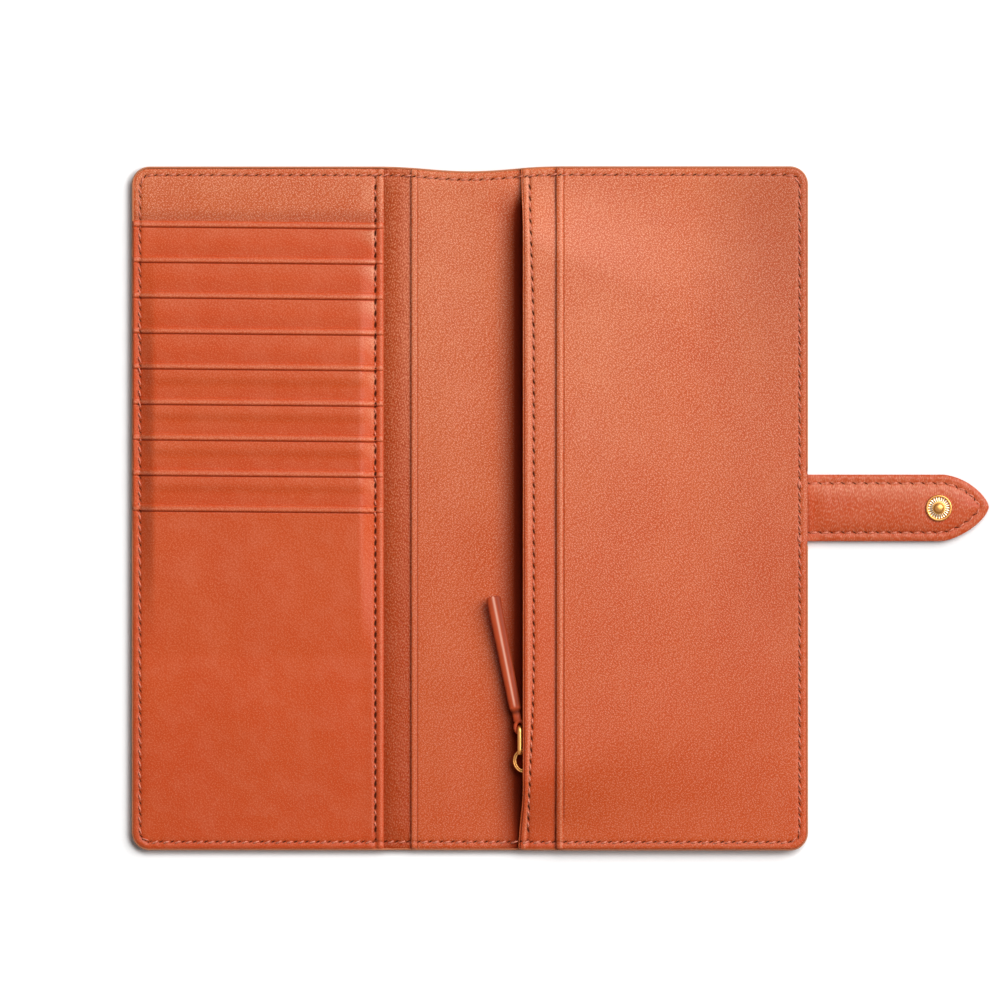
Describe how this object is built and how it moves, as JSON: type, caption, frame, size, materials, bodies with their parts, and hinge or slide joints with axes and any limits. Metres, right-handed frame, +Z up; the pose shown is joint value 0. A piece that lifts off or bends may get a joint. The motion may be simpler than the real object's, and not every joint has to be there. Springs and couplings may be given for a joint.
{
  "type": "continental wallet",
  "caption": "Long leather wallet lying open, with stepped card pockets, a zipped pocket, a note pocket and a pointed snap strap.",
  "frame": {"origin": "middle of the spine's outer face, on the table, with the wallet lying open", "axes": "+X across the open wallet towards the strap, +Y up the page, +Z up from the table"},
  "size_m": [0.314, 0.2504, 0.0128],
  "materials": {
    "outside_leather": "fine-grained smooth leather, satin",
    "pocket_leather": "fine-grained smooth leather, satin",
    "lining": "pebbled lining leather",
    "puller_leather": "glazed smooth leather",
    "board": "bonded leather board",
    "zip_tape": "woven tape",
    "brass": "polished gilt"
  },
  "bodies": {
    "back_cover": {"back_outer_leather": "outside_leather", "back_board": "board", "back_lining": "lining", "note_divider_back": "pocket_leather", "zip_pocket_lower_wall": "lining", "zip_pocket_upper_wall": "pocket_leather", "note_pocket_panel": "pocket_leather", "zip_tape_lower": "zip_tape", "zip_tape_upper": "zip_tape", "zip_teeth_lower": "brass", "zip_teeth_upper": "brass", "zip_bottom_stop": "brass", "zip_top_stop_lower": "brass", "zip_top_stop_upper": "brass", "strap_root_outer": "outside_leather", "strap_root_inner": "pocket_leather"},
    "spine": {"spine_outer_leather": "outside_leather", "spine_lining": "lining", "note_divider_spine": "pocket_leather"},
    "front_cover": {"front_outer_leather": "outside_leather", "front_board": "board", "front_lining": "lining", "note_divider_edge": "pocket_leather", "card_backing": "pocket_leather", "card_pocket_1": "pocket_leather", "card_pocket_2": "pocket_leather", "card_pocket_3": "pocket_leather", "card_pocket_4": "pocket_leather", "card_pocket_5": "pocket_leather", "card_pocket_6": "pocket_leather", "card_pocket_7": "pocket_leather", "card_pocket_8": "pocket_leather", "card_front_panel": "pocket_leather", "snap_socket": "brass", "snap_socket_plate": "brass"},
    "strap_neck": {"strap_neck_outer": "outside_leather", "strap_neck_inner": "pocket_leather"},
    "strap_tip": {"strap_tip_outer": "outside_leather", "strap_tip_inner": "pocket_leather", "snap_stud": "brass", "snap_cap": "brass"},
    "slider": {"zip_slider": "brass"},
    "link": {"pull_link": "brass"},
    "pull": {"puller": "puller_leather"}
  },
  "joints": [
    {"name": "spine_fold_back", "type": "hinge", "parent": "back_cover", "child": "spine", "pos_m": [0.0055, 0, 0.0046], "axis": [0, 1, 0], "range_deg": [0, 90]},
    {"name": "spine_fold_front", "type": "hinge", "parent": "spine", "child": "front_cover", "pos_m": [-0.0055, 0, 0.0046], "axis": [0, 1, 0], "range_deg": [0, 90]},
    {"name": "strap_bend_edge", "type": "hinge", "parent": "back_cover", "child": "strap_neck", "pos_m": [0.1252, 0.0002, 0.0037], "axis": [0, -1, 0], "range_deg": [0, 90]},
    {"name": "strap_bend_front", "type": "hinge", "parent": "strap_neck", "child": "strap_tip", "pos_m": [0.143, 0.0002, 0.0037], "axis": [0, -1, 0], "range_deg": [0, 90]},
    {"name": "zip_slide", "type": "slide", "parent": "back_cover", "child": "slider", "axis": [0, 1, 0], "range_m": [0, 0.184]},
    {"name": "link_swing", "type": "hinge", "parent": "slider", "child": "link", "pos_m": [0.0184, -0.0896, 0.0081], "axis": [0, 0, 1], "range_deg": [0, 140]},
    {"name": "puller_swing", "type": "hinge", "parent": "link", "child": "pull", "pos_m": [0.0184, -0.0799, 0.0081], "axis": [0, 0, 1], "range_deg": [-11, 28]}
  ],
  "couplings": [
    {"joint": "spine_fold_front", "follows": "spine_fold_back", "ratio": 1},
    {"joint": "strap_bend_front", "follows": "strap_bend_edge", "ratio": 1}
  ]
}
